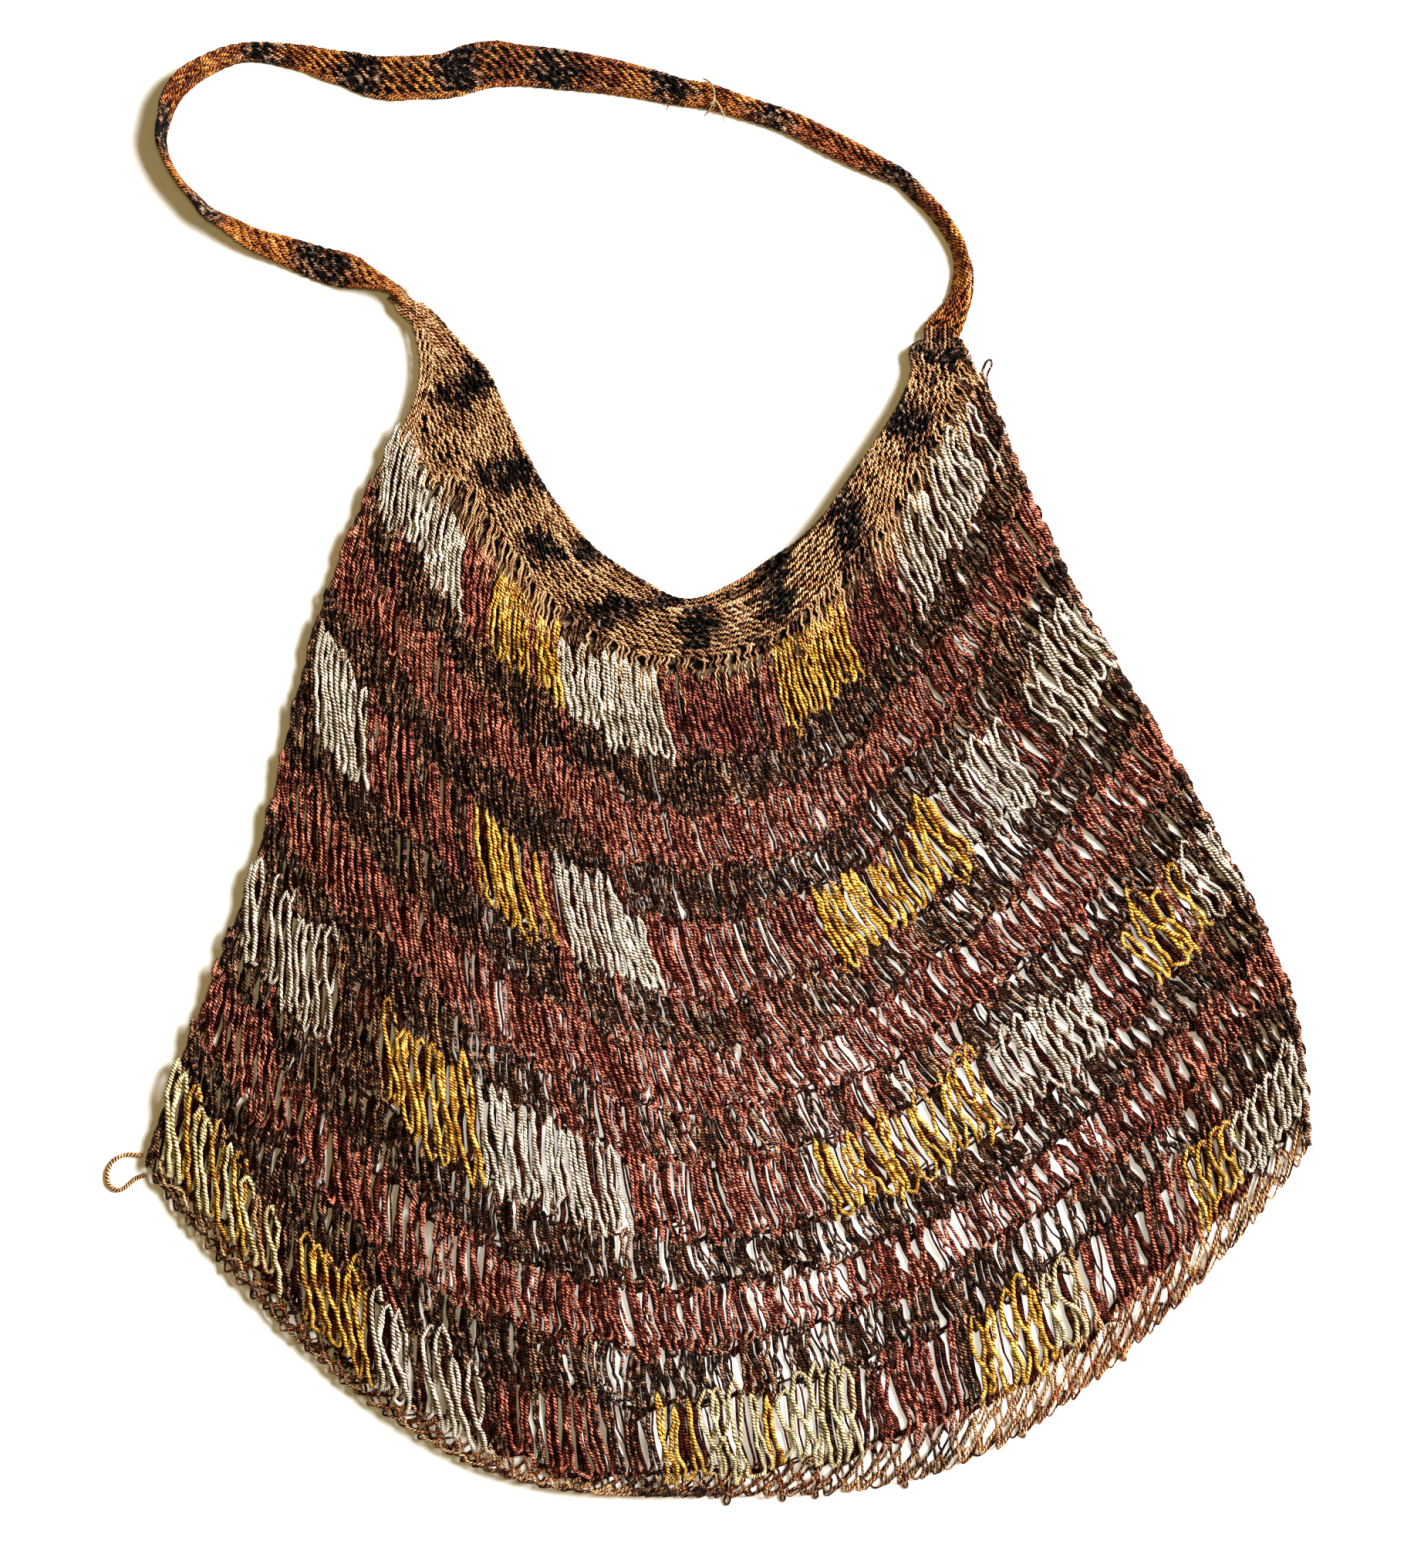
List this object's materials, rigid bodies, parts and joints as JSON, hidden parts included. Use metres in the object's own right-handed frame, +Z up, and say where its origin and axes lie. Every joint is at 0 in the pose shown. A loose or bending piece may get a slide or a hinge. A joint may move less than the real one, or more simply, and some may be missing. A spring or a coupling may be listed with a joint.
{
  "type": "looped string bag",
  "caption": "Flat-lying bag of looped yarn with a scooped mouth, a plain stitched mouth band and one long shoulder strap laid out in a loop.",
  "frame": {"origin": "middle of the whole bag in plan, on the surface it lies on", "axes": "+Y from the bag's bottom towards its mouth and strap, +X to the right seen from above, +Z up from the surface"},
  "size_m": [0.5049, 0.611, 0.011],
  "materials": {
    "net_yarn": "matte",
    "band_yarn": "matte",
    "strap_yarn": "matte",
    "loose_yarn": "matte"
  },
  "bodies": {
    "root": {"net_body": "net_yarn", "mouth_band": "band_yarn", "strap": "strap_yarn", "corner_loop": "loose_yarn"}
  },
  "joints": []
}
